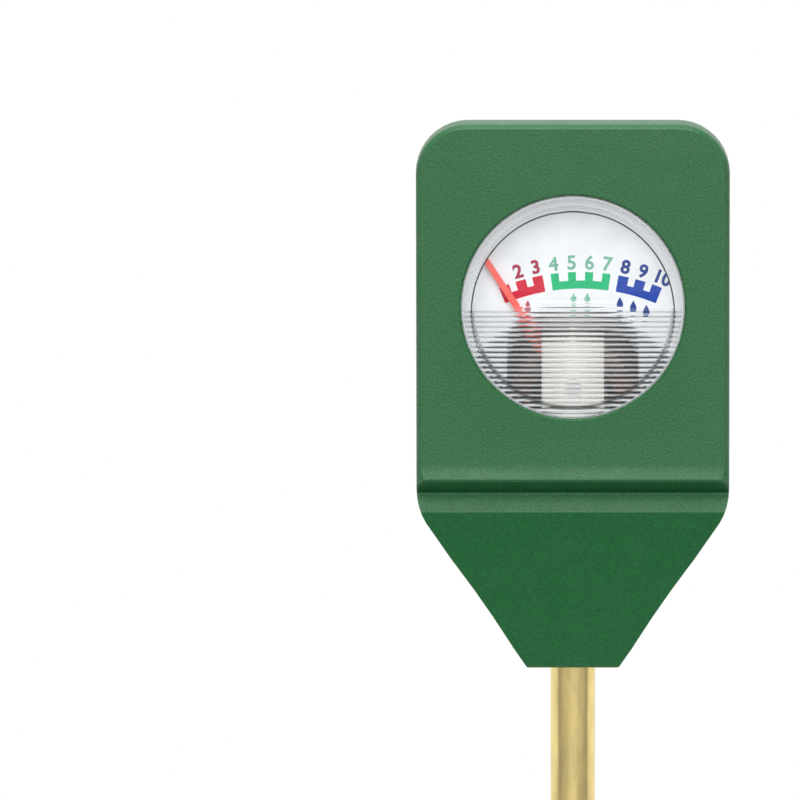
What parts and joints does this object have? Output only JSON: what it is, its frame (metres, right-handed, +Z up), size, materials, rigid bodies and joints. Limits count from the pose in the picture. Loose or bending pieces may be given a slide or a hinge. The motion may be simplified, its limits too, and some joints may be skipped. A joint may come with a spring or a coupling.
{
  "type": "soil moisture meter",
  "caption": "Handheld soil moisture meter: a flat green head with a round domed window over a needle dial, tapering to a slim brass probe that goes into the soil.",
  "frame": {"origin": "on the probe's axis, where the probe leaves the head's lower end", "axes": "+Z up along the probe's axis towards the head's top, the dial faces -Y, and +X is to the right as the dial is read"},
  "size_m": [0.0418, 0.0258, 0.1827],
  "materials": {
    "green_plastic": "fine satin",
    "clear_plastic": "clear, moulded",
    "white_plastic": "printed",
    "grey_plastic": "moulded",
    "cream_plastic": "moulded",
    "ivory_nylon": "moulded",
    "steel": "plated",
    "dark_steel": "blackened",
    "magnet": "ground",
    "brass": "drawn",
    "bronze": "rolled strip",
    "copper_wire": "enamelled winding",
    "aluminium": "rolled",
    "red_paint": "painted",
    "zinc": "turned",
    "red_insulation": "smooth",
    "black_insulation": "smooth"
  },
  "bodies": {
    "meter": {"front_shell": "green_plastic", "rear_cover": "green_plastic", "case_screws": "steel", "lens": "clear_plastic", "dial_plate": "white_plastic", "meter_tub": "grey_plastic", "movement_screws": "steel", "yoke_ring": "dark_steel", "core_magnet": "magnet", "core_brackets": "cream_plastic", "front_bridge": "cream_plastic", "rear_bridge": "cream_plastic", "bridge_screws": "steel", "jewel_screw_front": "steel", "jewel_screw_rear": "steel", "spring_studs": "brass", "stop_pins": "steel", "solder_tags": "bronze", "lead_red": "red_insulation", "lead_black": "black_insulation", "probe_tube": "brass", "tip_insulator": "ivory_nylon", "probe_tip": "zinc", "inner_rod": "steel", "rod_bush": "ivory_nylon", "rod_lug": "bronze", "rod_nut": "steel", "tube_lug": "bronze", "probe_clip": "steel"},
    "rotor": {"pointer": "red_paint", "balance_weights": "brass", "coil_former": "aluminium", "moving_coil": "copper_wire", "pivot_staffs": "steel", "hairspring_front": "bronze", "hairspring_rear": "bronze"}
  },
  "joints": [
    {"name": "pointer_swing", "type": "hinge", "parent": "meter", "child": "rotor", "pos_m": [0, 0, 0.0373], "axis": [0, 1, 0], "range_deg": [0, 74], "stiffness_Nm_per_rad": 0.00002, "springref_deg": -17.19}
  ]
}
